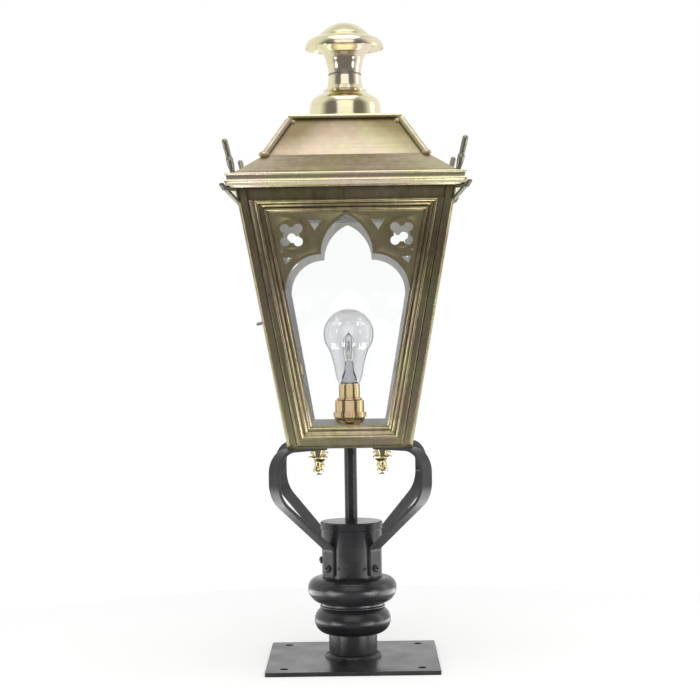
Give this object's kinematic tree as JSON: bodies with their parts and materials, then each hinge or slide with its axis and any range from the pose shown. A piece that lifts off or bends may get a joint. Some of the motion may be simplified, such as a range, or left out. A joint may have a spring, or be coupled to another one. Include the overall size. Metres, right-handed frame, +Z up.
{
  "type": "pillar lantern",
  "caption": "Square tapered glazed lantern with pierced pointed arches and a turned finial, held by bent arms on a turned pedestal with a bolt-down base; hinged door",
  "frame": {"origin": "centre of the underside of the base plate", "axes": "+Z up the pillar, -Y towards the front, +X to the viewer's right; the door is the wall at -X"},
  "size_m": [0.2846, 0.2846, 0.7643],
  "materials": {
    "black_paint": "satin black",
    "antique_brass": "antique, lacquered",
    "polished_brass": "turned and lightly aged",
    "clear_glass": "clear",
    "bulb_metal": "bright",
    "bulb_inner": "clear, with fine wires"
  },
  "bodies": {
    "lantern": {"base_plate": "black_paint", "pedestal_neck": "black_paint", "lower_ring": "black_paint", "upper_ring": "black_paint", "bracket_collar": "black_paint", "collar_set_screws": "black_paint", "arm_front_left": "black_paint", "arm_front_right": "black_paint", "arm_rear_left": "black_paint", "arm_rear_right": "black_paint", "arm_screws": "black_paint", "clamp_screw": "black_paint", "stem_tube": "black_paint", "stem_locknuts": "antique_brass", "base_tray": "antique_brass", "base_studs": "polished_brass", "base_stud_nuts": "antique_brass", "base_finials": "polished_brass", "post_front_left": "antique_brass", "post_front_right": "antique_brass", "post_rear_left": "antique_brass", "post_rear_right": "antique_brass", "top_rails": "antique_brass", "front_frame": "antique_brass", "right_frame": "antique_brass", "rear_frame": "antique_brass", "front_fret": "antique_brass", "right_fret": "antique_brass", "rear_fret": "antique_brass", "front_glass": "clear_glass", "right_glass": "clear_glass", "rear_glass": "clear_glass", "glazing_clips": "antique_brass", "eave_moulding": "antique_brass", "roof_skirt": "antique_brass", "roof_hood": "antique_brass", "hip_beads": "antique_brass", "roof_crown": "antique_brass", "finial_base": "polished_brass", "finial_vase": "polished_brass", "finial_brim": "polished_brass", "finial_rod": "antique_brass", "corner_straps": "antique_brass", "corner_spires": "antique_brass", "lamp_nipple": "polished_brass", "holder_cup": "polished_brass", "holder_ring": "polished_brass", "holder_body": "polished_brass", "bulb_glass": "clear_glass", "bulb_cap": "bulb_metal", "bulb_stem": "bulb_inner", "post_hinge_leaves": "antique_brass", "hinge_pins": "polished_brass"},
    "door": {"door_frame": "antique_brass", "door_fret": "antique_brass", "door_glass": "clear_glass", "door_clips": "antique_brass", "door_hinge_leaves": "antique_brass"},
    "latch": {"latch_knob": "antique_brass", "latch_tongue": "antique_brass"}
  },
  "joints": [
    {"name": "door_hinge", "type": "hinge", "parent": "lantern", "child": "door", "pos_m": [-0.07541, 0.06148, 0.26155], "axis": [0.1717, -0.1717, -0.9701], "range_deg": [0, 105]},
    {"name": "latch_turn", "type": "hinge", "parent": "door", "child": "latch", "pos_m": [-0.09852, -0.08248, 0.407], "axis": [-0.9847, 0, -0.1743], "range_deg": [0, 90]}
  ]
}
